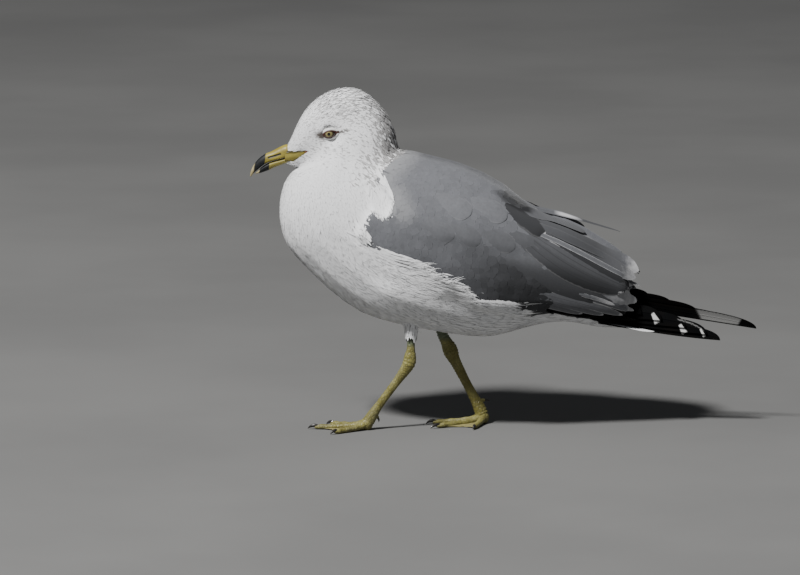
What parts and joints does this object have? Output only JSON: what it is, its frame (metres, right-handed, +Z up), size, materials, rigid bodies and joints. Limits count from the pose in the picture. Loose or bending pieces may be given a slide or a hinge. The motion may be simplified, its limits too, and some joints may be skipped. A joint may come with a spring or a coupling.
{
  "type": "seagull",
  "caption": "Life-size still model of a gull in winter plumage, walking with its neck drawn in, wings folded and webbed feet flat on the floor.",
  "frame": {"origin": "centre of the whole bird's box in plan, at the level of the soles", "axes": "+X from the bill towards the tail, +Y towards the bird's right side, +Z up"},
  "size_m": [0.4306, 0.1218, 0.292],
  "materials": {
    "head": "white feathers streaked grey-brown",
    "neck": "white feathers, dark flecks behind",
    "trunk": "white feathers",
    "mantle": "pale grey feathers",
    "eye": "pale yellow iris, dark pupil, wet gloss",
    "bill": "yellow horn with a black ring",
    "wing": "grey feathers",
    "tertials": "grey feathers with white tips",
    "primaries": "black feathers with white spots",
    "tail": "white feathers",
    "shank": "white feathers",
    "leg": "scaly yellow-green skin",
    "foot": "webbed yellow-green skin, black claws"
  },
  "bodies": {
    "root": {"head": "head", "neck": "neck", "trunk": "trunk", "mantle": "mantle", "left_eye": "eye", "right_eye": "eye", "upper_bill": "bill", "lower_bill": "bill", "left_wing": "wing", "right_wing": "wing", "left_tertials": "tertials", "right_tertials": "tertials", "left_primaries": "primaries", "right_primaries": "primaries", "tail": "tail", "left_shank": "shank", "right_shank": "shank", "left_leg": "leg", "right_leg": "leg", "left_foot": "foot", "right_foot": "foot"}
  },
  "joints": []
}
